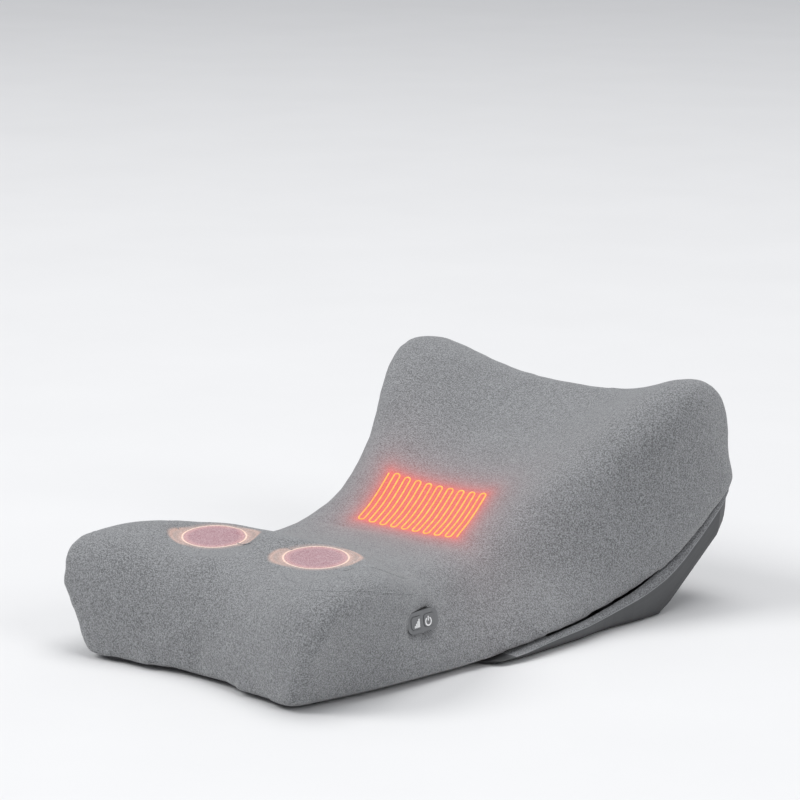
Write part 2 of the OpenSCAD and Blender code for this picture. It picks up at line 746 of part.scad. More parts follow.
// Side vector carried from one ring of a lead to the next
function side_vectors(ts, k = 0, before = undef) =
    k == len(ts) ? [] :
    let (raw = k == 0 ? square_to(ts[0]) : before - (before * ts[k]) * ts[k], n = unit(raw))
    concat([n], side_vectors(ts, k + 1, n));
module lead(route) {
    last = len(route) - 1;
    ts = [for (k = [0:last])
        unit((k == 0 ? [0, 0, 0] : unit(route[k] - route[k - 1]))
             + (k == last ? [0, 0, 0] : unit(route[k + 1] - route[k])))];
    ns = side_vectors(ts);
    points = [for (k = [0:last], s = [0:lead_sides - 1])
        let (a = 360 * s / lead_sides)
        route[k] + lead_r * (cos(a) * ns[k] + sin(a) * cross(ts[k], ns[k]))];
    sides = [for (k = [0:last - 1], s = [0:lead_sides - 1])
        let (a = lead_sides * k + s, b = lead_sides * k + (s + 1) % lead_sides)
        each [[a, a + lead_sides, b], [b, a + lead_sides, b + lead_sides]]];
    first_end = [for (s = [0:lead_sides - 1]) s];
    last_end = [for (s = [lead_sides - 1:-1:0]) lead_sides * last + s];
    polyhedron(points, concat(sides, [first_end, last_end]));
}
motor_end = place_y(motor_front + motor_l + motor_cap_t);
socket_x = board_x - 12;
socket_y = place_y(board_y) + 10;
module motor_leads() {
    color("red") for (step = [-1, 1])
        lead([[0, motor_end, worm_z + 4 * step],
              [0, motor_end + 4, worm_z + 4 * step],
              [socket_x + 1.5 * step, motor_end + 4, worm_z + 4 * step],
              [socket_x + 1.5 * step, motor_end + 4, board_top + 3],
              [socket_x + 1.5 * step, socket_y, board_top + 3]]);
}
module battery_leads() {
    color("black") for (step = [-1, 1])
        lead([[cell_x + step * cell_step, place_y(cell_y) + cell_l, cell_z + 1],
              [cell_x + step * cell_step, place_y(tray_rear) - 2, cell_z + 1],
              [board_x, place_y(tray_rear) - 2, board_top + 3 + 2 * step],
              [board_x, place_y(board_y) + 20, board_top + 3 + 2 * step],
              [board_x, place_y(board_y) + 20, board_top]]);
}
heater_lead_start = [20, place_y(cavity_rear) - 1, cavity_top - 8];
heater_lead_end = skin(202, 6.3, foam_inset + 0.8);
module heater_leads() {
    color("red") lead([[board_x - 5, place_y(board_y), board_top + 2],
                       [board_x - 5, place_y(board_y), board_top + 12],
                       heater_lead_start, heater_lead_end]);
}
key_lead_start = [cavity_half_w - 1, place_y(115), 20];
key_lead_end = [pad_at[0] - 9, place_y(pad_y), pad_at[2] - 3];
module key_leads() {
    color("white") lead([[board_x + 12, place_y(125), board_top], [board_x + 12, place_y(125), 20],
                         key_lead_start, key_lead_end]);
}
charge_lead_start = [1 - cavity_half_w, place_y(146), 30];
charge_lead_end = [port_at[0] + 11, place_y(port_y), port_at[2] - 3.5];
module charge_leads() {
    color("black") lead([[board_x, place_y(146), board_top], [board_x, place_y(146), cavity_top - 2],
                         [cell_x, place_y(146), cavity_top - 2], charge_lead_start, charge_lead_end]);
}

// ---- wedge base ----
wedge_floor = 1;
wedge_rear = body_l - 1;
wedge_heel = 331;
wedge_heel_top = 50;
// How far the wedge's shoulder stands out past the cushion's rim
wedge_reach = 8.5;
wedge_rear_corner = 3;
wedge_tip_corner = 14;
wedge_steps = 24;
lip_h = 8;
// Height of the wedge above which its lip has its full height
lip_full_at = 32;
// Side of the wedge from its top to its foot, with the lip first:
// share of the height below the lip, share of the lip's height, distance inside the shoulder
wedge_side_shape = [[0, 0, 2.4], [0, 0.16, 0.5], [0, 0.4, 0], [0, 0.86, 0.4], [0, 1, 2.2], [0.04, 1, 2.6],
                    [0.22, 1, 2.6], [0.45, 1, 3], [0.72, 1, 3.8], [0.92, 1, 5], [1, 1, 6.5]];
function panel_low(y) =
    rim_z(y - front_bow * max(0, 1 - 2 * y / body_l)) - panel_t - slack;
// Underside of the wedge: flat to the heel, then rising to the rear
function wedge_low(y) =
    wedge_floor + (wedge_heel_top - wedge_floor) * clamp01((y - wedge_heel) / (wedge_rear - wedge_heel));
function wedge_shoulder(y) =
    min(wedge_half_w, station_row(y / body_l)[1] * half_w - rim_tuck + wedge_reach)
    - corner_pull(wedge_rear - y, wedge_rear_corner) - corner_pull(y - wedge_tip_y, wedge_tip_corner);
// One cross-section of the wedge, d inside its skin, as a loop from the right top to the left top
function wedge_section(y, d, top_up) =
    let (low = wedge_low(y) + d,
         high = max(panel_low(y), low + 0.4) + top_up,
         lip = lip_h * min(1, (high - low) / lip_full_at),
         right = [for (s = wedge_side_shape)
             [wedge_shoulder(y) - s[2] - d, place_y(y), mixed(high - lip * s[1], low, s[0])]],
         last = len(right) - 1)
    concat(right, [for (i = [last:-1:0]) [-right[i][0], right[i][1], right[i][2]]]);
module wedge_solid(d, first_y, top_up) {
    ys = [for (i = [0:wedge_steps]) mixed(first_y, wedge_rear - d, i / wedge_steps)];
    rows = [for (y = ys) wedge_section(y, d, top_up)];
    m = len(rows[0]);
    last = len(rows) - 1;
    sides = [for (i = [0:last - 1], j = [0:m - 1])
        let (a = i * m + j, b = i * m + (j + 1) % m)
        each [[a, a + m, b], [b, a + m, b + m]]];
    first_end = [for (j = [0:m - 1]) j];
    last_end = [for (j = [m - 1:-1:0]) last * m + j];
    polyhedron([for (r = rows) each r], concat(sides, [first_end, last_end]));
}
wedge_screw_x = 92;
wedge_screw_y = [232, 300];
module wedge_screw_places() {
    for (x = [-wedge_screw_x, wedge_screw_x], y = wedge_screw_y)
        translate([x, place_y(y), 0]) children();
}
screw_head_r = 3;
head_sink = 3;
post_r = 6;
// Longer than any hole through the wedge is deep
through = 100;
cavity_y = 212;
module wedge_base() {
    color([0.45, 0.46, 0.49]) difference() {
        union() {
            difference() {
                wedge_solid(0, wedge_tip_y, 0);
                wedge_solid(wedge_wall, cavity_y, 20);
            }
            intersection() {
                wedge_screw_places() cylinder(r = post_r, h = through);
                wedge_solid(0, wedge_tip_y, 0);
            }
        }
        wedge_screw_places() {
            cylinder(r = screw_r + 0.1, h = through);
            cylinder(r = screw_head_r + 0.2, h = wedge_floor + head_sink);
        }
    }
}
module wedge_screws() {
    color("silver") for (x = [-wedge_screw_x, wedge_screw_x], y = wedge_screw_y)
        translate([x, place_y(y), wedge_floor + 1]) {
            cylinder(r = screw_head_r, h = head_sink - 1);
            cylinder(r = screw_r, h = rim_z(y) - wedge_floor);
        }
}
foot_r = 9;
front_foot = [78, 30];
rear_foot = [92, 266];
module rubber_feet() {
    color([0.1, 0.1, 0.1]) for (side = [-1, 1]) {
        translate([side * front_foot[0], place_y(front_foot[1]), 0])
            cylinder(r = foot_r, h = base_gap - panel_t);
        translate([side * rear_foot[0], place_y(rear_foot[1]), 0]) cylinder(r = foot_r, h = wedge_floor);
    }
}

cover_top();
bottom_panel();
foam_cushion();
heater_sheet();
heating_wire();
control_bezel();
key_level();
key_power();
key_domes();
key_board();
gearbox_tray();
gearbox_lid();
lid_screws();
lid_bushes();
tray_bushes();
motor_can();
motor_end_cap();
motor_clamp();
worm_shaft();
worm_bearing();
gear_pins();
compound_gear_left();
compound_gear_right();
output_gear_left();
output_gear_right();
output_shaft_left();
output_shaft_right();
head_plate_left();
head_plate_right();
kneading_nodes_left();
kneading_nodes_right();
head_screws_left();
head_screws_right();
wedge_base();
wedge_screws();
battery_cells();
battery_holder();
main_board();
motor_leads();
battery_leads();
heater_leads();
key_leads();
charge_leads();
charge_port();
rubber_feet();
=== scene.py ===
import json
import math

import bmesh
import bpy
import numpy as np
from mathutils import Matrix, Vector, noise
from mathutils.bvhtree import BVHTree


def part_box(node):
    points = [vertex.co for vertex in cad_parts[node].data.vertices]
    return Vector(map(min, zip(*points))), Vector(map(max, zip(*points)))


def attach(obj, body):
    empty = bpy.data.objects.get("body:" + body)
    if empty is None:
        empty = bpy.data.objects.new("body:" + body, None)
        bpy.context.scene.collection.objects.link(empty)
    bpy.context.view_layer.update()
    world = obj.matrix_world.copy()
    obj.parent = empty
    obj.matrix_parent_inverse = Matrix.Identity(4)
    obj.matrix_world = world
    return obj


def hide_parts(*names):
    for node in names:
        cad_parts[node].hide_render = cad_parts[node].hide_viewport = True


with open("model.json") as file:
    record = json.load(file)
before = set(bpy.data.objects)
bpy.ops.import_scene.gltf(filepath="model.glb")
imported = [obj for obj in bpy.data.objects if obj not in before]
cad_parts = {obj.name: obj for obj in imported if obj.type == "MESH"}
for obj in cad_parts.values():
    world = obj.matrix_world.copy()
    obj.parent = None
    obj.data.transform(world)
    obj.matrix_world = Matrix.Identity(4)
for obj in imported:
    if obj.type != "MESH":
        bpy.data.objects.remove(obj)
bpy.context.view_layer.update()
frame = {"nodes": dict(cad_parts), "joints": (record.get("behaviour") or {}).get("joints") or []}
NODES = frame["nodes"]
JOINTS = {joint["name"]: joint for joint in frame["joints"]}
MM = 0.001
UP = Vector((0, 0, 1))

# ---- places, from the frame ----
HEADS = {side: Vector(JOINTS[f"{side}_head_spin"]["pos_m"]) for side in ("left", "right")}
PAD_OUT = -Vector(JOINTS["power_key_press"]["axis"]).normalized()
PAD_REAR = Vector((0, 1, 0))
PORT_OUT = Vector((-PAD_OUT.x, 0, PAD_OUT.z))


def box_centre(node):
    low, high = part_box(node)
    return (low + high) / 2


def smooth_step(low, high, value):
    """0 below low, 1 above high, with soft ends; low may be above high."""
    share = np.clip((value - low) / (high - low), 0, 1)
    return share * share * (3 - 2 * share)


# ---- material graphs ----
class Graph:
    """Node graph of one material, with short calls for the nodes that the materials use."""

    def __init__(self, name):
        self.material = bpy.data.materials.new(name)
        self.material.use_nodes = True
        self.nodes = self.material.node_tree.nodes
        self.links = self.material.node_tree.links
        self.shader = self.nodes["Principled BSDF"]
        self.place = self.nodes.new("ShaderNodeTexCoord").outputs["Object"]

    def feed(self, value, socket):
        if isinstance(value, bpy.types.NodeSocket):
            self.links.new(value, socket)
        else:
            socket.default_value = value

    def math(self, operation, a, b=0.0, c=0.0):
        node = self.nodes.new("ShaderNodeMath")
        node.operation = operation
        for value, socket in zip((a, b, c), node.inputs):
            self.feed(value, socket)
        return node.outputs[0]

    def length(self, a, b):
        return self.math("SQRT", self.math("MULTIPLY_ADD", a, a, self.math("MULTIPLY", b, b)))

    def ramp(self, value, low, high, out_low=0.0, out_high=1.0):
        node = self.nodes.new("ShaderNodeMapRange")
        node.interpolation_type = "SMOOTHSTEP"
        for number, socket in zip((value, low, high, out_low, out_high), node.inputs):
            self.feed(number, socket)
        return node.outputs[0]

    def noise(self, scale, detail=2.0, roughness=0.5, place=None):
        node = self.nodes.new("ShaderNodeTexNoise")
        self.links.new(place or self.place, node.inputs["Vector"])
        node.inputs["Scale"].default_value = scale
        node.inputs["Detail"].default_value = detail
        node.inputs["Roughness"].default_value = roughness
        return node.outputs["Fac"]

    def cells(self, scale):
        node = self.nodes.new("ShaderNodeTexVoronoi")
        self.links.new(self.place, node.inputs["Vector"])
        node.inputs["Scale"].default_value = scale
        return node.outputs["Distance"]

    def stretched(self, scale, turn=(0, 0, 0)):
        node = self.nodes.new("ShaderNodeMapping")
        self.links.new(self.place, node.inputs["Vector"])
        node.inputs["Scale"].default_value = scale
        node.inputs["Rotation"].default_value = turn
        return node.outputs["Vector"]

    def mix(self, share, a, b, blend="MIX"):
        node = self.nodes.new("ShaderNodeMix")
        node.data_type = "RGBA"
        node.blend_type = blend
        self.feed(share, node.inputs["Factor"])
        self.feed(a, node.inputs[6])
        self.feed(b, node.inputs[7])
        return node.outputs[2]

    def add(self, share, a, b):
        """Colour a plus a share of colour b."""
        return self.mix(share, a, b, "ADD")

    def axes(self):
        node = self.nodes.new("ShaderNodeSeparateXYZ")
        self.links.new(self.place, node.inputs[0])
        return node.outputs

    def bump(self, height, strength, distance):
        node = self.nodes.new("ShaderNodeBump")
        self.feed(height, node.inputs["Height"])
        node.inputs["Strength"].default_value = strength
        node.inputs["Distance"].default_value = distance
        self.links.new(node.outputs["Normal"], self.shader.inputs["Normal"])

    def set(self, **values):
        for name, value in values.items():
            self.feed(value, self.shader.inputs[name.replace("_", " ")])


def grey(value, tint=(1, 1, 1)):
    return (value * tint[0], value * tint[1], value * tint[2], 1)


def shade(colour, factor):
    return (colour[0] * factor, colour[1] * factor, colour[2] * factor, 1)


UNEVEN = 0.12  # how far a moulding's colour wanders either way


def moulded(name, colour, roughness=0.5, grain=1600, depth=0.05):
    """Moulded plastic or rubber: fine spark-eroded grain and slightly uneven colour."""
    g = Graph(name)
    broad = g.noise(60, 3)
    fine = g.noise(grain, 2)
    g.set(Base_Color=g.mix(broad, shade(colour, 1 - UNEVEN), shade(colour, 1 + UNEVEN)),
          Roughness=g.ramp(fine, 0.2, 0.8, roughness - 0.08, roughness + 0.08))
    g.bump(fine, 0.5, depth * MM)
    return g.material


def metal(name, colour, roughness=0.3, brushed=(1, 1, 12), depth=0.01):
    """Turned or drawn metal, with fine marks along one axis and a little tarnish."""
    g = Graph(name)
    marks = g.noise(900, 3, place=g.stretched(brushed))
    tarnish = g.noise(120, 4, 0.6)
    g.set(Base_Color=g.mix(tarnish, shade(colour, 0.82), shade(colour, 1.08)), Metallic=1.0,
          Roughness=g.ramp(marks, 0.2, 0.8, roughness - 0.1, roughness + 0.12))
    g.bump(marks, 0.4, depth * MM)
    return g.material


PILE_CONTRAST = 0.48
PILE_DEPTH = 1.1 * MM


def velour(name, colour, glow=False):
    """Short brushed pile. With glow it also carries the light that the heads and the heater throw."""
    g = Graph(name)
    pile = g.noise(1150, 2, 0.6)
    tufts = g.noise(620, 2, 0.5)
    brush = g.noise(30, 4, 0.6)
    rows = g.noise(230, 2, 0.5, place=g.stretched((1.0, 0.38, 0.6), (0.2, 0.3, 0.6)))
    x, y, _ = g.axes()
    patches = g.ramp(g.noise(11, 2), 0.5, 0.62)
    speck = g.math("MULTIPLY_ADD", pile, 0.84, g.math("MULTIPLY", tufts, 0.16))
    even = g.math("MULTIPLY_ADD", brush, 0.05, g.math("MULTIPLY", speck, 0.95))
    dark, light = shade(colour, 1 - PILE_CONTRAST), shade(colour, 1 + PILE_CONTRAST)
    cloth = g.mix(g.ramp(even, 0.34, 0.66), dark, light)
    ridge = g.math("MULTIPLY", rows, patches)
    height = g.math("MULTIPLY_ADD", ridge, 1.1, speck)
    g.bump(height, 0.9, PILE_DEPTH)
    g.set(Roughness=0.92, Sheen_Weight=0.35, Sheen_Roughness=0.55, Sheen_Tint=grey(0.9),
          Specular_IOR_Level=0.15)
    if not glow:
        g.set(Base_Color=cloth)
        return g.material
    tint, light = add_glow(g, x, y)
    g.set(Base_Color=g.mix(tint, cloth, WARM_CLOTH), Emission_Color=light,
          Emission_Strength=1.0)
    return g.material


def band(g, distance, radius, half_width):
    """1 on a circle of that radius, falling to 0 at half_width from it."""
    return g.ramp(g.math("ABSOLUTE", g.math("SUBTRACT", distance, radius)), half_width, 0.0)


# Round each head: a fine bright ring with a haze, a pink disc inside it and a pale oval outside
RING_R = 20.5 * MM
RING_W = 1.0 * MM
HAZE_W = 6 * MM
OUTER_R = 28.7 * MM
RING_LIGHT = (0.58, 0.44, 0.33, 1)
RING_HAZE = (0.22, 0.11, 0.08, 1)
OUTER_LIGHT = (0.40, 0.20, 0.13, 1)
DISC_LIGHT = (0.25, 0.04, 0.065, 1)
# The oval is long in this direction
OVAL_ALONG = (0.738, 0.675)
# Round the heater: a strong glow that tints the cloth, and a faint one that reaches further
WARM_LIGHT = (0.50, 0.035, 0.015, 1)
WARM_CLOTH = (0.24, 0.05, 0.04, 1)
WARM_TINT = 0.75
WARM_REACH = 6 * MM
FAR_LIGHT = (0.15, 0.03, 0.035, 1)
FAR_REACH = 17 * MM


def head_light(g, x, y, head, light):
    """Adds the light round one head to a colour."""
    dx, dy = g.math("SUBTRACT", x, head.x), g.math("SUBTRACT", y, head.y)
    r = g.length(dx, dy)
    along = g.math("MULTIPLY_ADD", dx, OVAL_ALONG[0], g.math("MULTIPLY", dy, OVAL_ALONG[1]))
    sideways = g.math("MULTIPLY", dx, OVAL_ALONG[1])
    across = g.math("SUBTRACT", g.math("MULTIPLY", dy, OVAL_ALONG[0]), sideways)
    oval = g.length(along, g.math("MULTIPLY", across, OUTER_R / RING_R))
    ends = g.ramp(g.math("DIVIDE", g.math("ABSOLUTE", along), g.math("ADD", r, MM)), 0.55, 0.95)
    outside = g.ramp(r, RING_R - 0.5 * MM, RING_R + 0.5 * MM)
    fill = g.math("MULTIPLY", g.ramp(oval, OUTER_R + 2.5 * MM, OUTER_R - 1.5 * MM), outside)
    rim = band(g, oval, OUTER_R - 0.5 * MM, 3 * MM)
    filled = g.math("MULTIPLY_ADD", rim, 0.45, g.math("MULTIPLY", fill, 0.55))
    light = g.add(g.ramp(r, RING_R + 0.5 * MM, RING_R - 2 * MM), light, DISC_LIGHT)
    light = g.add(g.math("MULTIPLY", filled, ends), light, OUTER_LIGHT)
    light = g.add(band(g, r, RING_R, HAZE_W), light, RING_HAZE)
    return g.add(band(g, r, RING_R, RING_W), light, RING_LIGHT)


def from_heater(g, x, y):
    """Distance from the leaning outline of the heating wire, in plan."""
    low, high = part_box("heating_wire")
    middle, half = (low + high) / 2, (high - low) / 2
    dx, dy = g.math("SUBTRACT", x, middle.x), g.math("SUBTRACT", y, middle.y)
    beyond = []
    leaning = g.math("MULTIPLY_ADD", dy, TRACE_LEAN, dx)
    for offset, reach in ((leaning, half.x - TRACE_LEAN * half.y), (dy, half.y)):
        past = g.math("SUBTRACT", g.math("ABSOLUTE", offset), reach - MM)
        beyond.append(g.math("MAXIMUM", past, 0.0))
    return g.length(*beyond)


def fading(g, distance, reach):
    return g.math("EXPONENT", g.math("MULTIPLY", distance, -1 / reach))


def add_glow(g, x, y):
    """How far the cloth is tinted, and the light it gives off, round the heads and the heater."""
    light = (0.0, 0.0, 0.0, 1)
    for head in HEADS.values():
        light = head_light(g, x, y, head, light)
    distance = from_heater(g, x, y)
    light = g.add(fading(g, distance, FAR_REACH), light, FAR_LIGHT)
    warm = fading(g, distance, WARM_REACH)
    return g.math("MULTIPLY", warm, WARM_TINT), g.add(warm, light, WARM_LIGHT)


def glowing(name, colour, strength):
    g = Graph(name)
    ripple = g.ramp(g.noise(300, 2), 0.3, 0.7)
    light = g.mix(ripple, shade(colour, 0.8), shade(colour, 1.15))
    g.set(Base_Color=shade(colour, 0.25), Roughness=0.6, Emission_Color=light, Emission_Strength=strength)
    return g.material


# ---- mesh helpers ----
def coords(mesh):
    flat = np.empty(len(mesh.vertices) * 3, np.float32)
    mesh.vertices.foreach_get("co", flat)
    return flat.reshape(-1, 3).astype(float)


def normals(mesh):
    flat = np.empty(len(mesh.vertices) * 3, np.float32)
    mesh.vertices.foreach_get("normal", flat)
    return flat.reshape(-1, 3).astype(float)


def move_to(mesh, points):
    mesh.vertices.foreach_set("co", points.astype(np.float32).ravel())
    mesh.update()


def new_piece(name, mesh):
    piece = bpy.data.objects.new(name, mesh)
    bpy.context.scene.collection.objects.link(piece)
    return piece


def from_bmesh(name, bm):
    mesh = bpy.data.meshes.new(name)
    bm.to_mesh(mesh)
    bm.free()
    return new_piece(name, mesh)


def bake(piece):
    """Applies every modifier of a piece to its mesh."""
    bpy.context.view_layer.update()
    made = bpy.data.meshes.new_from_object(piece.evaluated_get(bpy.context.evaluated_depsgraph_get()))
    piece.modifiers.clear()
    piece.data = made


def soften(piece, steps):
    """Smooths a mesh and swells it back after each step, so that it doesn't shrink."""
    for number in range(2 * steps):
        smoother = piece.modifiers.new(f"Smooth_{number}", "SMOOTH")
        smoother.factor = (0.5, -0.52)[number % 2]
    bake(piece)


def voxels(piece, size):
    remesh = piece.modifiers.new("Remesh", "REMESH")
    remesh.mode = "VOXEL"
    remesh.voxel_size = size
    bake(piece)


def subdivide(piece):
    smoother = piece.modifiers.new("Subdivision", "SUBSURF")
    smoother.levels = 1
    smoother.render_levels = 1
    bake(piece)


def tree_of(piece):
    return BVHTree.FromPolygons([v.co.copy() for v in piece.data.vertices],
                                [tuple(p.vertices) for p in piece.data.polygons])


PUFF_PRESSURE = 4.0
PUFF_FRAMES = 20


def puff(piece, held, cap):
    """Inflates a closed cover by cloth simulation; held points stay, and nothing moves past cap."""
    rest = coords(piece.data)
    group = piece.vertex_groups.new(name="held")
    group.add([int(i) for i in np.flatnonzero(held)], 1.0, "REPLACE")
    cloth = piece.modifiers.new("Cloth", "CLOTH")
    cloth.settings.quality = 4
    cloth.settings.mass = 0.3
    cloth.settings.tension_stiffness = 12
    cloth.settings.compression_stiffness = 12
    cloth.settings.bending_stiffness = 2
    cloth.settings.use_pressure = True
    cloth.settings.uniform_pressure_force = PUFF_PRESSURE
    cloth.settings.effector_weights.gravity = 0
    cloth.settings.vertex_group_mass = "held"
    cloth.collision_settings.use_collision = False
    scene = bpy.context.scene
    scene.frame_start, scene.frame_end = 1, PUFF_FRAMES
    for number in range(1, PUFF_FRAMES + 1):
        scene.frame_set(number)
    bake(piece)
    moved = coords(piece.data) - rest
    length = np.linalg.norm(moved, axis=1, keepdims=True)
    share = cap * np.tanh(length / cap) / np.maximum(length, 1e-9)
    move_to(piece.data, rest + moved * share)
    piece.vertex_groups.clear()


# ---- the cushion cover ----
INSIDE_COVER = ("foam_cushion", "gearbox_lid", "gearbox_tray", "head_plate_left", "head_plate_right",
                "output_gear_left", "output_gear_right", "kneading_nodes_left", "kneading_nodes_right")


def outer_sheet(node, openings):
    """The outside of a thin CAD cover, with its bottom and its small openings closed."""
    inside = bmesh.new()
    for name in INSIDE_COVER:
        inside.from_mesh(NODES[name].data)
    tree = BVHTree.FromBMesh(inside)
    inside.free()
    bm = bmesh.new()
    bm.from_mesh(NODES[node].data)
    bmesh.ops.remove_doubles(bm, verts=bm.verts, dist=0.01 * MM)
    bm.normal_update()
    dropped = []
    for face in bm.faces:
        centre = face.calc_center_median()
        faces_in = tree.ray_cast(centre + face.normal * 0.5 * MM, face.normal, 80 * MM)[0] is not None
        in_opening = any((centre - place).length < 20 * MM and abs(face.normal.dot(out)) < 0.6
                         for place, out in openings)
        if faces_in or in_opening:
            dropped.append(face)
    bmesh.ops.delete(bm, geom=dropped, context="FACES")
    top = max(bm.faces, key=lambda f: f.calc_center_median().z)
    kept, stack = {top}, [top]
    while stack:
        near = {other for edge in stack.pop().edges for other in edge.link_faces} - kept
        kept |= near
        stack.extend(near)
    bmesh.ops.delete(bm, geom=[f for f in bm.faces if f not in kept], context="FACES")
    close_openings(bm)
    return from_bmesh("velour_cover", bm)


def front_middle_first(place):
    """Sorts the frontmost place nearest the middle line first, and the left half last."""
    far = 9
    return (round(place.y, 5) if place.x > -0.1 * MM else far) + abs(place.x)


def close_openings(bm):
    """Fills the small openings, then joins the two sides of the bottom rim straight across."""
    loops = boundary_loops(bm)
    rim = max(loops, key=len)
    for loop in loops:
        if loop is not rim:
            bm.faces.new(loop)
    start = min(range(len(rim)), key=lambda i: front_middle_first(rim[i].co))
    rim = rim[start:] + rim[:start]
    count = len(rim)
    for k in range((count - 1) // 2):
        a, b = rim[k], rim[k + 1]
        c, d = rim[-k - 1], rim[-k]
        corners = [v for i, v in enumerate((a, b, c, d)) if v not in (a, b, c, d)[:i]]
        if len(corners) > 2 and bm.faces.get(corners) is None:
            bm.faces.new(corners)
    bmesh.ops.recalc_face_normals(bm, faces=bm.faces)


def boundary_loops(bm):
    following = {}
    for edge in bm.edges:
        if len(edge.link_faces) == 1:
            loop = edge.link_loops[0]
            following[loop.link_loop_next.vert] = loop.vert
    loops = []
    while following:
        first = next(iter(following))
        loop, vert = [], first
        while vert in following:
            loop.append(vert)
            vert = following.pop(vert)
        loops.append(loop)
    return loops


def drape(tree, x, y, lift=0.0):
    """Point of the cover under a place in plan."""
    hit, normal = tree.ray_cast(Vector((x, y, 1.0)), -UP)[:2]
    return hit + normal * lift


def cling(tree, point, lift=0.0):
    """Point of the cover nearest to a place."""
    hit, normal = tree.find_nearest(Vector(point))[:2]
    return hit + normal * lift


def resampled(points, step):
    """Points at even steps along a smooth curve through the given ones."""
    points = np.array(points, float)
    ends = np.vstack([2 * points[0] - points[1], points, 2 * points[-1] - points[-2]])
    fine = []
    for a, b, c, d in zip(ends, ends[1:], ends[2:], ends[3:]):
        for f in np.linspace(0, 1, 24, endpoint=False):
            fine.append(0.5 * (2 * b + (c - a) * f + (2 * a - 5 * b + 4 * c - d) * f * f
                               + (3 * b - a - 3 * c + d) * f ** 3))
    fine = np.array(fine + [points[-1]])
    along = np.concatenate([[0], np.cumsum(np.linalg.norm(np.diff(fine, axis=0), axis=1))])
    places = np.linspace(0, along[-1], max(3, int(along[-1] / step) + 1))
    return np.stack([np.interp(places, along, fine[:, i]) for i in range(3)], axis=1)


def tube(name, path, radius, sides):
    """Round tube along a path, with closed ends."""
    path = [Vector(p) for p in path]
    bm = bmesh.new()
    rings, side = [], None
    for k, here in enumerate(path):
        along = (path[min(k + 1, len(path) - 1)] - path[max(k - 1, 0)]).normalized()
        side = side - along * side.dot(along) if side else along.cross(UP)
        side = (side if side.length > 1e-6 else along.cross(Vector((1, 0, 0)))).normalized()
        other = along.cross(side)
        rings.append([bm.verts.new(here + radius * (math.cos(a) * side + math.sin(a) * other))
                      for a in (2 * math.pi * s / sides for s in range(sides))])
    for a, b in zip(rings, rings[1:]):
        for s in range(sides):
            bm.faces.new((a[s], a[(s + 1) % sides], b[(s + 1) % sides], b[s]))
    bm.faces.new(rings[0][::-1])
    bm.faces.new(rings[-1])
    bmesh.ops.recalc_face_normals(bm, faces=bm.faces)
    piece = from_bmesh(name, bm)
    shade_smooth(piece)
    return piece


def shade_smooth(piece):
    piece.data.polygons.foreach_set("use_smooth", [True] * len(piece.data.polygons))
    piece.data.update()


def from_line(points, line):
    """Distance of each point from a polyline."""
    best = np.full(len(points), 1e9)
    for a, b in zip(line, line[1:]):
        step = b - a
        share = np.clip((points - a) @ step / (step @ step), 0, 1)
        best = np.minimum(best, np.linalg.norm(points - a - share[:, None] * step, axis=1))
    return best


def wrinkles(points, scale, seed):
    """Soft noise from -1 to 1 at each point, with bumps about scale across."""
    shift = Vector((seed, 2 * seed, 3 * seed))
    return np.array([noise.noise(Vector(p) / scale + shift) for p in points])


# The cloth lies flat over each head, this far over the tops of the kneading nodes, leaning forward
CLOTH_OVER_NODES = {"left": 4.2 * MM, "right": 5.9 * MM}
LEAN_SLOPE = 0.095
LEAN_ALONG = np.array((-0.707, 0.707))
FLAT_OUTER, FLAT_INNER = 36 * MM, 21.5 * MM
# In front of a head the cloth takes longer to rise again
FRONT_STRETCH = 0.58
# Mark that a kneading node pushes up in the cloth: direction in degrees, then orbit, reach and height
HUMPS = {"left": ((78, 15 * MM, 7 * MM, 1.6 * MM),), "right": ()}
SEAM_R = 0.3 * MM
SEAM_DIP, SEAM_DIP_W = 0.22 * MM, 2.5 * MM
# Makes up for what the softening takes off the round edges
SWELL = 0.9 * MM
# Size across, depth and seed of the unevenness of the cloth
UNEVENNESS = ((34 * MM, 0.28 * MM, 3.1), (11 * MM, 0.1 * MM, 7.7))
# Places along the length, and how far the hem hangs over the edge of the bottom panel there
RIM_DROPS = (np.array((0, 65, 95, 125, 155, 200)) * MM, np.array((1.9, 2.3, 3.2, 2.8, 0.8, 0.4)) * MM)
# Outlines in the side walls: the control pad, and the charging port
PAD_HALF = Vector((14, 6.75, 0)) * MM
PAD_CORNER = 5.5 * MM
PORT_HALF = Vector((8.2, 4.7, 0)) * MM
PORT_CORNER = 3.2 * MM
# The cloth sinks round the pad, and twice as far below it
PAD_DIP, PAD_DIP_W = 1.1 * MM, 3 * MM
PAD_GAP = 0.2 * MM
CLOTH_T = 1.8 * MM
# Mesh size and softening steps, before the puffing and after it
COVER_MESH, COVER_STEPS, PUFFED_STEPS = 4 * MM, 10, 2
PUFF_CAP = 3 * MM
# The cloth round the pad and the port stays still as it puffs
STILL_W = 6 * MM
PORT_STILL_HALF, PORT_STILL_CORNER = PAD_HALF * 0.6, 3 * MM
SEAM_STEP = 2 * MM
SEAM_PROUD = 0.02 * MM
# The hem's drop fades in between these heights over the rim
RIM_FADE = (16 * MM, 2 * MM)


def outline_distance(points, centre, out, half, corner):
    """Distance in the wall's plane from a rounded outline; below 0 inside it."""
    rear = np.array(PAD_REAR)
    up = np.array((UP - out * out.z).normalized())
    offset = points - np.array(centre)
    flat = np.stack([offset @ rear, offset @ up], axis=1)
    beyond = np.abs(flat) - (np.array((half[0], half[1])) - corner)
    outside = np.linalg.norm(np.maximum(beyond, 0), axis=1)
    inside = np.minimum(beyond.max(axis=1), 0)
    return np.where(np.abs(offset @ np.array(out)) < 20 * MM, outside + inside - corner, 1.0)


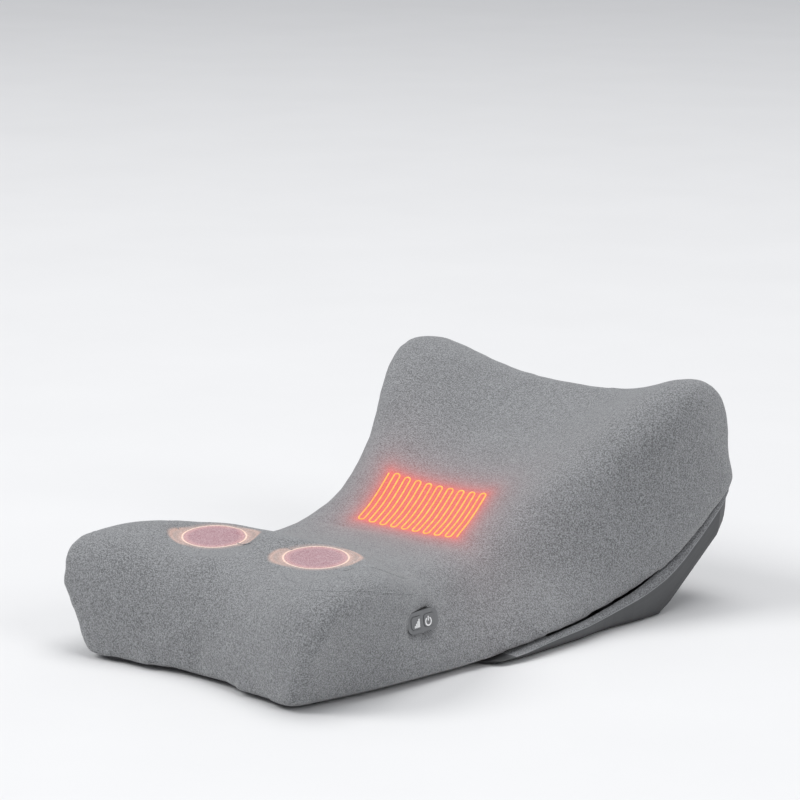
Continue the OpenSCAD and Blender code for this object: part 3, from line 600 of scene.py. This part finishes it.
def seam_lines(tree):
    """Seams: across the saddle between and beside the heads, and round each front corner."""
    middle = (HEADS["left"] + HEADS["right"]) / 2
    gap = HEADS["right"].x - RING_R
    lines = {"saddle_seam": [drape(tree, x, middle.y) for x in np.linspace(-gap, gap, 5)]}
    for name, side in (("right", 1), ("left", -1)):
        beside = [(68, -135), (80, -132), (90, -122), (91, -108), (89, -94)]
        lines[f"{name}_saddle_seam"] = [drape(tree, side * x * MM, y * MM) for x, y in beside]
        rail = [(50, -172, 62), (79, -178, 68), (104, -178, 72),
                (111, -158, 70), (106, -116, 61), (95, -75, 51)]
        lines[f"{name}_side_seam"] = [cling(tree, Vector((side * x, y, z)) * MM) for x, y, z in rail]
    return lines


def flattened(points, top_side):
    """How far each point moves up so that the cloth lies flat over the heads."""
    rise = np.zeros(len(points))
    for side, head in HEADS.items():
        offset = points[:, :2] - np.array(head)[:2]
        behind = offset @ LEAN_ALONG
        sideways = offset @ np.array((LEAN_ALONG[1], -LEAN_ALONG[0]))
        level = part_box(f"kneading_nodes_{side}")[1].z + CLOTH_OVER_NODES[side]
        plane = level + LEAN_SLOPE * np.maximum(behind, -FLAT_INNER)
        out_from = np.hypot(np.where(behind < 0, FRONT_STRETCH, 1) * behind, sideways)
        share = smooth_step(FLAT_OUTER, FLAT_INNER, out_from) * top_side
        rise += (plane - SWELL - points[:, 2]) * share
    return rise


def cloth_lift(points, out, lines, pad):
    """How far each point moves outwards: swell, unevenness, marks of the nodes, seams and the pad's edge."""
    top_side = smooth_step(-0.2, 0.3, out[:, 2])
    lift = np.full(len(points), SWELL)
    for scale, depth, seed in UNEVENNESS:
        lift += wrinkles(points, scale, seed) * depth
    lift *= smooth_step(-0.9, -0.5, out[:, 2])
    for side, head in HEADS.items():
        for angle, orbit, reach, height in HUMPS[side]:
            turn = math.radians(angle)
            centre = np.array(head)[:2] + orbit * np.array([math.cos(turn), math.sin(turn)])
            away = np.linalg.norm(points[:, :2] - centre, axis=1)
            lift += height * smooth_step(reach, 0, away) * top_side
    for line in lines.values():
        lift -= SEAM_DIP * np.exp(-(from_line(points, line) / SEAM_DIP_W) ** 2)
    rim = outline_distance(points, *pad, PAD_HALF, PAD_CORNER)
    under_pad = smooth_step(2 * MM, -6 * MM, points[:, 2] - pad[0].z)
    lift -= PAD_DIP * (1 + under_pad) * np.exp(-((rim - 1 * MM) / PAD_DIP_W) ** 2)
    return lift, flattened(points, top_side)


def make_cover():
    """The velour cover: the CAD cover's outside, puffed by cloth simulation, seamed, and cut open."""
    pad = (box_centre("control_bezel"), PAD_OUT)
    port = (box_centre("charge_port"), PORT_OUT)
    cover = outer_sheet("cover_top", [pad, port])
    voxels(cover, COVER_MESH)
    soften(cover, COVER_STEPS)
    points = coords(cover.data)
    held = normals(cover.data)[:, 2] < -0.8
    near_pad = outline_distance(points, *pad, PAD_HALF, PAD_CORNER) < STILL_W
    near_port = outline_distance(points, *port, PORT_STILL_HALF, PORT_STILL_CORNER) < STILL_W
    puff(cover, held | near_pad | near_port, PUFF_CAP)
    soften(cover, PUFFED_STEPS)
    subdivide(cover)
    tree = tree_of(cover)
    lines = {name: resampled(line, SEAM_STEP) for name, line in seam_lines(tree).items()}
    points, out = coords(cover.data), normals(cover.data)
    lift, rise = cloth_lift(points, out, lines, pad)
    points = points + out * lift[:, None]
    points[:, 2] += rise
    height = points[:, 2] - rim_heights(points[:, 1])
    points[:, 2] -= np.interp(points[:, 1], *RIM_DROPS) * smooth_step(*RIM_FADE, height)
    move_to(cover.data, points)
    tree = tree_of(cover)
    seams = []
    for name, line in lines.items():
        path = [cling(tree, p, SEAM_PROUD) for p in line]
        seams.append(tube(name, path, SEAM_R, sides=6))
    trim_bottom(cover)
    solid = cover.modifiers.new("Solidify", "SOLIDIFY")
    solid.thickness = CLOTH_T
    solid.offset = -1
    bake(cover)
    pad_hole = PAD_HALF + Vector((PAD_GAP, PAD_GAP, 0))
    cut(cover, opening("pad_cut", *pad, pad_hole, PAD_CORNER + PAD_GAP))
    cut(cover, opening("port_cut", *port, PORT_HALF, PORT_CORNER))
    shade_smooth(cover)
    return cover, seams, tree


def rim_heights(along):
    """Height of the CAD cover's bottom rim at places along the length."""
    points = coords(NODES["cover_top"].data)
    low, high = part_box("cover_top")
    stops = np.linspace(low.y, high.y, 41)
    reach = (high.y - low.y) / 40
    rims = [points[np.abs(points[:, 1] - stop) < reach, 2].min() for stop in stops]
    return np.interp(along, stops, rims)


HEM = 4 * MM


def trim_bottom(cover):
    """Removes the closed bottom, except for a hem that turns under the rim."""
    bm = bmesh.new()
    bm.from_mesh(cover.data)
    bm.normal_update()
    under = [f for f in bm.faces if f.normal.z < -0.85]
    low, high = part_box("bottom_panel")
    panel = BVHTree.FromPolygons([v.co.copy() for v in NODES["bottom_panel"].data.vertices],
                                 [tuple(p.vertices) for p in NODES["bottom_panel"].data.polygons])
    gone = []
    for face in under:
        centre = face.calc_center_median()
        x_limit = half_width_at(panel, centre.y)
        inner_y = low.y + HEM < centre.y < high.y - HEM
        if x_limit and abs(centre.x) < x_limit - HEM and inner_y and below_is_panel(panel, centre):
            gone.append(face)
    bmesh.ops.delete(bm, geom=gone, context="FACES")
    bm.to_mesh(cover.data)
    bm.free()


def half_width_at(panel, y):
    """Half width of the bottom panel at a place along the length, from the lowest height where it is met."""
    for height in (2.5, 6, 10, 16, 26, 40, 56, 70, 76):
        hit = panel.ray_cast(Vector((1.0, y, height * MM)), Vector((-1, 0, 0)))[0]
        if hit:
            return hit.x
    return None


def below_is_panel(panel, centre):
    """True if the panel lies under a place and under those a hem's width before and behind it."""
    starts = [centre + Vector((0, shift, 20 * MM)) for shift in (-HEM, 0, HEM)]
    return all(panel.ray_cast(start, -UP)[0] is not None for start in starts)


def opening(name, centre, out, half, corner):
    """Rounded prism that cuts an opening through a side wall."""
    up = (UP - out * out.z).normalized()
    corners = []
    for sx, sy in ((1, 1), (-1, 1), (-1, -1), (1, -1)):
        start = math.atan2(sy, sx) - math.pi / 4
        for k in range(7):
            angle = start + k * math.pi / 12
            corners.append((sx * (half.x - corner) + corner * math.cos(angle),
                            sy * (half.y - corner) + corner * math.sin(angle)))
    bm = bmesh.new()
    rings = [[bm.verts.new(centre + PAD_REAR * a + up * b + out * depth) for a, b in corners]
             for depth in (-20 * MM, 20 * MM)]
    count = len(corners)
    for k in range(count):
        bm.faces.new((rings[0][k], rings[0][(k + 1) % count], rings[1][(k + 1) % count], rings[1][k]))
    bm.faces.new(rings[0][::-1])
    bm.faces.new(rings[1])
    bmesh.ops.recalc_face_normals(bm, faces=bm.faces)
    return from_bmesh(name, bm)


def cut(piece, cutter):
    knife = piece.modifiers.new("Cut", "BOOLEAN")
    knife.operation = "DIFFERENCE"
    knife.solver = "EXACT"
    knife.object = cutter
    bake(piece)
    bpy.data.objects.remove(cutter)


FOAM_MESH, FOAM_STEPS = 5 * MM, 3
FOAM_UNDER_CLOTH = 3 * MM
FOAM_INSET = 0.3 * MM


def make_foam():
    """The foam block: the CAD foam, remeshed and softened, and lowered where the cloth lies flat."""
    bm = bmesh.new()
    bm.from_mesh(NODES["foam_cushion"].data)
    foam = from_bmesh("foam_block", bm)
    voxels(foam, FOAM_MESH)
    soften(foam, FOAM_STEPS)
    points, out = coords(foam.data), normals(foam.data)
    points = points + out * (wrinkles(points, 25 * MM, 5.3) * FOAM_INSET - FOAM_INSET)[:, None]
    for side, head in HEADS.items():
        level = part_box(f"kneading_nodes_{side}")[1].z + CLOTH_OVER_NODES[side] - FOAM_UNDER_CLOTH
        near = np.linalg.norm(points[:, :2] - np.array(head)[:2], axis=1)
        over = np.maximum(points[:, 2] - level, 0)
        points[:, 2] -= over * smooth_step(FLAT_OUTER + 6 * MM, FLAT_INNER, near)
    move_to(foam.data, points)
    shade_smooth(foam)
    return foam


# ---- the heater trace ----
TRACE_BARS = 19
TRACE_LEAN = 0.37
TRACE_R = 0.5 * MM


def make_trace(tree):
    """The heating wire as it glows through the cover: bars along the slope, joined by half-round turns."""
    low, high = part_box("heating_wire")
    middle, half = (low + high) / 2, (high - low) / 2
    pitch = 2 * (half.x - TRACE_LEAN * half.y) / (TRACE_BARS - 1)
    turn_r = pitch / 2
    reach = half.y - turn_r
    flat = []
    for bar in range(TRACE_BARS):
        x = (bar - (TRACE_BARS - 1) / 2) * pitch
        going = 1 if bar % 2 else -1
        for share in np.linspace(-1, 1, 14):
            flat.append((x, going * share * reach))
        if bar < TRACE_BARS - 1:
            for angle in np.linspace(0, math.pi, 8)[1:-1]:
                side, end = turn_r - turn_r * math.cos(angle), reach + turn_r * math.sin(angle)
                flat.append((x + side, going * end))
    path = [drape(tree, middle.x + x - TRACE_LEAN * y, middle.y + y, 0.15 * MM) for x, y in flat]
    return tube("heat_trace", path, TRACE_R, sides=8)


# ---- icons ----
ICON_T = 0.25 * MM
ICON_SUNK = 0.05 * MM


def flat_icon(name, outlines, centre):
    """Thin raised marks on a key, one for each outline in the key's plane."""
    up = (UP - PAD_OUT * PAD_OUT.z).normalized()
    bm = bmesh.new()
    for outline in outlines:
        flat = [centre + PAD_REAR * a + up * b for a, b in outline]
        low_loop, high_loop = [[bm.verts.new(place + PAD_OUT * depth) for place in flat]
                               for depth in (-ICON_SUNK, ICON_T)]
        bm.faces.new(low_loop)
        bm.faces.new(high_loop)
        count = len(outline)
        for k in range(count):
            n = (k + 1) % count
            bm.faces.new((low_loop[k], low_loop[n], high_loop[n], high_loop[k]))
    bmesh.ops.recalc_face_normals(bm, faces=bm.faces)
    return from_bmesh(name, bm)


def arc(radius, start, stop, steps):
    return [(radius * math.cos(a), radius * math.sin(a)) for a in np.linspace(start, stop, steps)]


def key_face(node):
    """Centre of a key's outer face."""
    mesh = NODES[node].data
    centre = box_centre(node)
    reach = max((v.co - centre).dot(PAD_OUT) for v in mesh.vertices)
    return centre + PAD_OUT * reach


# Power mark: radius and half width of its open ring, half angle of the gap, and its place on the key
POWER_R, POWER_HALF_W, POWER_GAP = 2.5 * MM, 0.45 * MM, 0.55
POWER_SHIFT = PAD_REAR * -1.2 * MM - UP * 0.6 * MM
# Level mark: heights of the bars, then their width, their pitch and the corner where they start
BAR_HEIGHTS = (1.5 * MM, 2.8 * MM, 4.1 * MM, 5.4 * MM)
BAR_W, BAR_PITCH = 0.95 * MM, 1.25 * MM
BARS_FROM = (-2.4 * MM, -2.7 * MM)


def make_icons():
    """Power mark and rising level bars, on their keys."""
    start, stop = math.pi / 2 + POWER_GAP, math.pi / 2 - POWER_GAP + 2 * math.pi
    open_ring = arc(POWER_R + POWER_HALF_W, start, stop, 32) + arc(POWER_R - POWER_HALF_W, stop, start, 32)
    stem = [(side * POWER_HALF_W, end * MM) for side, end in ((-1, 0.4), (1, 0.4), (1, 3.4), (-1, 3.4))]
    power = flat_icon("power_mark", [open_ring, stem], key_face("key_power") + POWER_SHIFT)
    bars = []
    for k, height in enumerate(BAR_HEIGHTS):
        left, base = BARS_FROM[0] + k * BAR_PITCH, BARS_FROM[1]
        right, top = left + BAR_W, base + height
        bars.append([(left, base), (right, base), (right, top), (left, top - 0.3 * MM)])
    return power, flat_icon("level_mark", bars, key_face("key_level"))


# ---- materials ----
VELOUR = (0.235, 0.24, 0.247)
# The seams' thread is painted lighter than the velour: a painted highlight along each seam
THREAD_PAINTED_HIGHLIGHT = tuple(1.35 * c for c in VELOUR)


def paint(piece, material):
    piece.data.materials.clear()
    piece.data.materials.append(material)


def rounded(node, width):
    """Small rounding on the edges of a CAD node."""
    bevel = NODES[node].modifiers.new("Bevel", "BEVEL")
    bevel.width = width
    bevel.segments = 2
    bevel.limit_method = "ANGLE"
    bevel.angle_limit = math.radians(40)
    bevel.harden_normals = False


def top_curve(g, y, node, stops):
    """Height of the top of a CAD node made of that many even rows, as a function of y."""
    points = coords(NODES[node].data)
    low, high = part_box(node)
    curve = g.nodes.new("ShaderNodeValToRGB")
    curve.color_ramp.interpolation = "LINEAR"
    marks = curve.color_ramp.elements
    for k in range(stops):
        share = k / (stops - 1)
        here = low.y + share * (high.y - low.y)
        near = points[np.abs(points[:, 1] - here) < (high.y - low.y) / (2.5 * stops)]
        top = min(near[:, 2].max() / high.z, 1)
        mark = marks[0] if k == 0 else marks[1] if k == stops - 1 else marks.new(share)
        mark.color = (top, top, top, 1)
    g.links.new(g.math("DIVIDE", g.math("SUBTRACT", y, low.y), high.y - low.y), curve.inputs[0])
    return g.math("MULTIPLY", curve.outputs[0], high.z)


# The wedge: rows of points along it, and its lip's height, which is full where the wedge is this tall
WEDGE_ROWS = 25
LIP_H = 8 * MM
LIP_FULL_AT = 32 * MM
COOL_TINT = (0.97, 0.99, 1.02)


def wedge_material():
    """Wedge base: a lighter textured lip along its upper edge with a painted highlight line at its lower
    edge, and smooth dark moulding below, with painted shade that darkens it further down and near the floor.
    """
    g = Graph("wedge_moulding")
    fine = g.noise(1100, 2, 0.6)
    _, y, z = g.axes()
    top = top_curve(g, y, "wedge_base", WEDGE_ROWS)
    lip_h = g.math("MULTIPLY", g.math("MINIMUM", g.math("DIVIDE", top, LIP_FULL_AT), 1.0), LIP_H)
    below = g.math("SUBTRACT", g.math("SUBTRACT", top, z), lip_h)
    on_lip = g.ramp(below, 0.5 * MM, -0.3 * MM)
    # Painted shade: the moulding darkens from just under the lip to 30 mm below it
    body = g.mix(g.ramp(below, 0.0, 30 * MM), grey(0.10, COOL_TINT), grey(0.06, COOL_TINT))
    # Painted shade: darker again within 5 mm of the floor
    body = g.mix(g.ramp(z, 5 * MM, 1 * MM), body, grey(0.035, COOL_TINT))
    lip = g.mix(g.ramp(fine, 0.34, 0.66), grey(0.12, COOL_TINT), grey(0.29, COOL_TINT))
    # Painted highlight: a thin light line along the lower edge of the lip
    edge = g.ramp(g.math("ABSOLUTE", g.math("ADD", below, 0.7 * MM)), 0.8 * MM, 0.2 * MM)
    lip = g.mix(edge, lip, grey(0.31, COOL_TINT))
    g.set(Base_Color=g.mix(on_lip, body, lip), Roughness=g.ramp(on_lip, 0.0, 1.0, 0.5, 0.9),
          Specular_IOR_Level=0.3)
    g.bump(g.math("MULTIPLY", fine, g.math("MULTIPLY_ADD", on_lip, 0.8, 0.2)), 0.7, 0.5 * MM)
    return g.material


def bezel_material():
    """Control bezel: pale face, with painted shade that darkens its sides where it sinks in the cloth."""
    g = Graph("bezel_plastic")
    fine = g.noise(1600, 2)
    x, _, z = g.axes()
    face = key_face("control_bezel").dot(PAD_OUT)
    out = g.math("MULTIPLY_ADD", x, PAD_OUT.x, g.math("MULTIPLY", z, PAD_OUT.z))
    depth = g.math("SUBTRACT", face, out)
    # Painted shade: the colour darkens from the face to 1.6 mm behind it
    colour = g.mix(g.ramp(depth, 0.6 * MM, 1.6 * MM), grey(0.175, COOL_TINT), grey(0.03, COOL_TINT))
    g.set(Base_Color=colour, Roughness=0.55)
    g.bump(fine, 0.5, 0.05 * MM)
    return g.material


def board_material():
    """Green circuit board with copper tracks under the solder mask."""
    g = Graph("circuit_board")
    tracks = g.ramp(g.cells(420), 0.30, 0.34)
    patch = g.noise(90, 2)
    bare = g.mix(patch, (0.02, 0.10, 0.05, 1), (0.03, 0.13, 0.06, 1))
    g.set(Base_Color=g.mix(tracks, (0.03, 0.16, 0.07, 1), bare), Roughness=0.35, Coat_Weight=0.3,
          Coat_Roughness=0.2)
    g.bump(tracks, 0.4, 0.05 * MM)
    return g.material


def foam_material():
    """Open-cell foam."""
    g = Graph("foam")
    pores = g.cells(700)
    broad = g.noise(35, 3)
    skin = g.mix(broad, (0.78, 0.73, 0.58, 1), (0.86, 0.82, 0.68, 1))
    # Painted shade: the pores are darker, where shade falls in the open cells
    g.set(Base_Color=g.mix(g.ramp(pores, 0.1, 0.5), (0.42, 0.38, 0.28, 1), skin), Roughness=0.95,
          Specular_IOR_Level=0.1)
    g.bump(pores, 0.8, 0.5 * MM)
    return g.material


def film_material():
    """Heater carrier: woven polyester film."""
    g = Graph("heater_film")
    weave = g.noise(500, 1, place=g.stretched((1, 6, 1)))
    g.set(Base_Color=g.mix(weave, (0.62, 0.50, 0.14, 1), (0.76, 0.63, 0.22, 1)), Roughness=0.45)
    g.bump(weave, 0.4, 0.06 * MM)
    return g.material


ROUNDINGS = {"control_bezel": 0.9 * MM, "key_level": 0.35 * MM, "key_power": 0.35 * MM,
             "charge_port": 0.3 * MM, "rubber_feet": 0.2 * MM, "wedge_base": 0.5 * MM,
             "gearbox_lid": 0.4 * MM, "gearbox_tray": 0.4 * MM}


def paint_inside():
    """Finishes of every CAD node that stays."""
    finishes = {
        moulded("dark_board", (0.045, 0.045, 0.05, 1), 0.75, 700, 0.2): ["bottom_panel"],
        film_material(): ["heater_sheet"],
        bezel_material(): ["control_bezel"],
        moulded("black_plastic", (0.028, 0.028, 0.031, 1), 0.42):
            ["charge_port", "battery_holder", "motor_end_cap"],
        moulded("key_plastic", (0.165, 0.168, 0.173, 1), 0.55): ["key_level", "key_power"],
        moulded("dome_rubber", (0.62, 0.62, 0.60, 1), 0.8): ["key_domes"],
        board_material(): ["key_board", "main_board"],
        moulded("grey_nylon", (0.10, 0.11, 0.13, 1), 0.55):
            ["gearbox_tray", "gearbox_lid", "motor_clamp", "worm_bearing",
             "head_plate_left", "head_plate_right"],
        metal("steel", (0.62, 0.62, 0.63, 1)):
            ["lid_screws", "gear_pins", "output_shaft_left", "output_shaft_right",
             "head_screws_left", "head_screws_right", "wedge_screws", "worm_shaft"],
        metal("bronze", (0.62, 0.42, 0.16, 1), 0.4): ["lid_bushes", "tray_bushes"],
        metal("motor_steel", (0.50, 0.51, 0.53, 1), 0.35, (12, 1, 1)): ["motor_can"],
        moulded("white_nylon", (0.75, 0.74, 0.69, 1), 0.45):
            ["compound_gear_left", "compound_gear_right"],
        metal("sintered_steel", (0.42, 0.42, 0.44, 1), 0.5, (1, 1, 1), 0.03):
            ["output_gear_left", "output_gear_right"],
        moulded("node_plastic", (0.62, 0.24, 0.17, 1), 0.35):
            ["kneading_nodes_left", "kneading_nodes_right"],
        wedge_material(): ["wedge_base"],
        moulded("cell_wrap", (0.03, 0.10, 0.28, 1), 0.3): ["battery_cells"],
        moulded("red_lead", (0.45, 0.03, 0.02, 1), 0.5): ["motor_leads", "heater_leads"],
        moulded("black_lead", (0.03, 0.03, 0.03, 1), 0.5): ["battery_leads", "charge_leads"],
        moulded("white_lead", (0.70, 0.70, 0.68, 1), 0.5): ["key_leads"],
        moulded("foot_rubber", (0.03, 0.03, 0.032, 1), 0.85, 500, 0.15): ["rubber_feet"],
    }
    for material, names in finishes.items():
        for name in names:
            paint(NODES[name], material)
    for name, width in ROUNDINGS.items():
        rounded(name, width)


# ---- studio ----
VIEW_AZIMUTH, VIEW_ELEVATION = math.radians(42.45), math.radians(14.04)
VIEW_TARGET = Vector((0, -0.0104, 0.064))
VIEW_DISTANCE = 2.211
# The camera looks past the target, this far to the right and up
AIM_RIGHT, AIM_UP = 0.0070, 0.0859
LENS = 151.2
# Lights: place, size and power; all of them look at the cushion's foot
LIGHTS = {"key": ((-3.0, -4.0, 5.0), 3.5, 205),
          "side": ((4.2, -0.3, 2.6), 2.5, 44),
          "top": ((0.25, 0.75, 5.5), 4.0, 138)}
LIGHTS_AT = Vector((0, 0, 0.05))
SKY_COLOUR, SKY_STRENGTH = (0.93, 0.95, 1.0, 1), 0.45
FLOOR_SIZE = 14


def make_camera():
    a, e = VIEW_AZIMUTH, VIEW_ELEVATION
    back = Vector((math.sin(a) * math.cos(e), -math.cos(a) * math.cos(e), math.sin(e)))
    right = Vector((math.cos(a), math.sin(a), 0))
    up = back.cross(right)
    camera = bpy.data.objects.new("camera", bpy.data.cameras.new("camera"))
    bpy.context.scene.collection.objects.link(camera)
    camera.location = VIEW_TARGET + back * VIEW_DISTANCE
    aim = VIEW_TARGET + right * AIM_RIGHT + up * AIM_UP
    camera.rotation_mode = "QUATERNION"
    camera.rotation_quaternion = (aim - camera.location).to_track_quat("-Z", "Y")
    camera.data.lens = LENS
    bpy.context.scene.camera = camera


def make_light(name, place, size, power):
    light = bpy.data.objects.new(name, bpy.data.lights.new(name, "AREA"))
    bpy.context.scene.collection.objects.link(light)
    light.location = place
    light.rotation_mode = "QUATERNION"
    light.rotation_quaternion = (LIGHTS_AT - Vector(place)).to_track_quat("-Z", "Y")
    light.data.shape = "DISK"
    light.data.size = size
    light.data.energy = power


def make_studio():
    bm = bmesh.new()
    bmesh.ops.create_grid(bm, x_segments=8, y_segments=8, size=FLOOR_SIZE)
    floor = from_bmesh("studio_floor", bm)
    g = Graph("studio_floor")
    grain = g.noise(6, 3)
    g.set(Base_Color=g.mix(grain, grey(0.78), grey(0.82)), Roughness=0.8, Specular_IOR_Level=0.2)
    paint(floor, g.material)
    world = bpy.data.worlds.new("studio")
    world.use_nodes = True
    sky = world.node_tree.nodes["Background"]
    sky.inputs["Color"].default_value = SKY_COLOUR
    sky.inputs["Strength"].default_value = SKY_STRENGTH
    bpy.context.scene.world = world
    for name, (place, size, power) in LIGHTS.items():
        make_light(name, place, size, power)
    bpy.context.scene.view_settings.view_transform = "Standard"


# ---- assembly ----
make_camera()
make_studio()
paint_inside()

cloth = velour("grey_velour", VELOUR, glow=True)
highlit_thread = velour("seam_thread_painted_highlight", THREAD_PAINTED_HIGHLIGHT)
cover, seams, cover_tree = make_cover()
paint(cover, cloth)
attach(cover, "base")
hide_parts("cover_top")
# The seams wear the lighter velour, a painted highlight
for seam in seams:
    paint(seam, highlit_thread)
    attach(seam, "base")

foam = make_foam()
paint(foam, foam_material())
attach(foam, "base")
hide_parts("foam_cushion")

trace = make_trace(cover_tree)
paint(trace, glowing("heat_glow", (1.0, 0.50, 0.11, 1), 0.95))
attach(trace, "base")
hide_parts("heating_wire")

white = moulded("icon_white", (0.85, 0.85, 0.85, 1), 0.4)
for mark, body in zip(make_icons(), ("power_key", "level_key")):
    paint(mark, white)
    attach(mark, body)
